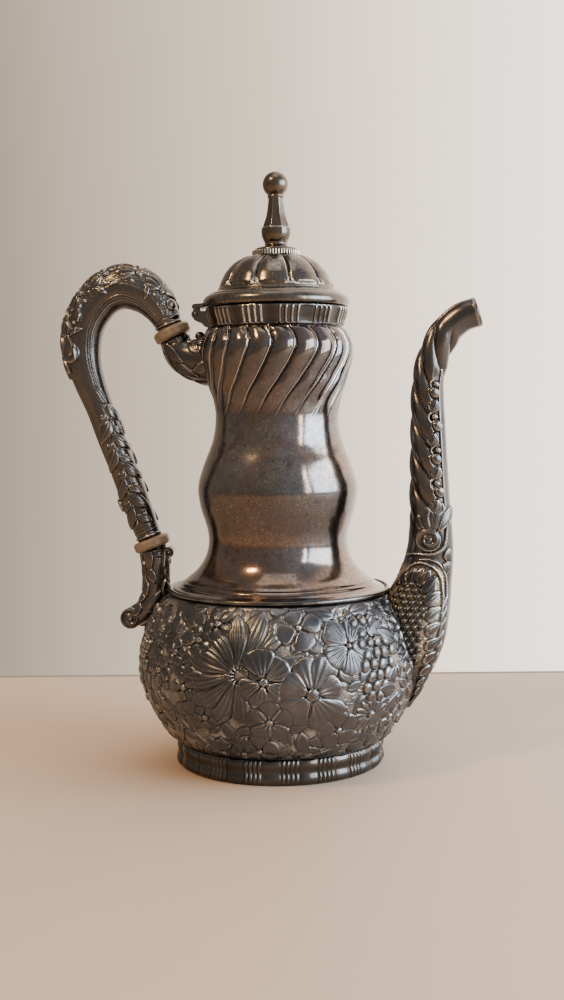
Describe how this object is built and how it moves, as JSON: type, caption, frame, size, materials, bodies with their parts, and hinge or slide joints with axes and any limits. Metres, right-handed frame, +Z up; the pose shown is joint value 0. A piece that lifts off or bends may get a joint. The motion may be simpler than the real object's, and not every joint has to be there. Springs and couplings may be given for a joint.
{
  "type": "coffee pot",
  "caption": "Tall plated metal coffee pot with an embossed round bowl, waisted fluted neck, hinged domed lid with knob, loop handle with pale insulators and a twisted spout.",
  "frame": {"origin": "on the pot's axis, in the plane the foot rests on", "axes": "+Z up along the pot's axis, +X towards the spout, -X towards the handle and the lid's hinge, +Y to the left when the spout points away"},
  "size_m": [0.1811, 0.121, 0.254],
  "materials": {
    "tarnished_silver": "tarnished silver plate, semi-gloss, pale deposit in the grooves",
    "embossed_silver": "embossed silver plate, dark in the recesses and worn bright on the high points",
    "burnished_silver": "smooth reflective tarnished silver plate with brown and violet toning",
    "cast_silver": "cast and chased silver plate, dark grey",
    "worn_silver": "turned silver plate worn brown at the edges",
    "bone": "aged bone, satin"
  },
  "bodies": {
    "pot": {"foot_ring": "tarnished_silver", "base_plate": "tarnished_silver", "bowl": "embossed_silver", "shoulder_bead": "tarnished_silver", "neck": "burnished_silver", "mouth_band": "tarnished_silver", "spout_left": "embossed_silver", "spout_right": "embossed_silver", "upper_socket": "cast_silver", "lower_socket": "cast_silver", "upper_insulator": "bone", "lower_insulator": "bone", "insulator_pins": "cast_silver", "handle_grip": "cast_silver", "hinge_body_leaf": "cast_silver", "hinge_pin": "cast_silver"},
    "lid": {"lid_dome": "burnished_silver", "lid_flange": "burnished_silver", "lid_bezel": "tarnished_silver", "milled_collar": "worn_silver", "finial": "worn_silver", "finial_stud": "worn_silver", "finial_washer": "worn_silver", "finial_nut": "worn_silver", "hinge_lid_leaf": "cast_silver"}
  },
  "joints": [
    {"name": "lid_hinge", "type": "hinge", "parent": "pot", "child": "lid", "pos_m": [-0.0342, 0, 0.1938], "axis": [0, -1, 0], "range_deg": [0, 80]}
  ]
}
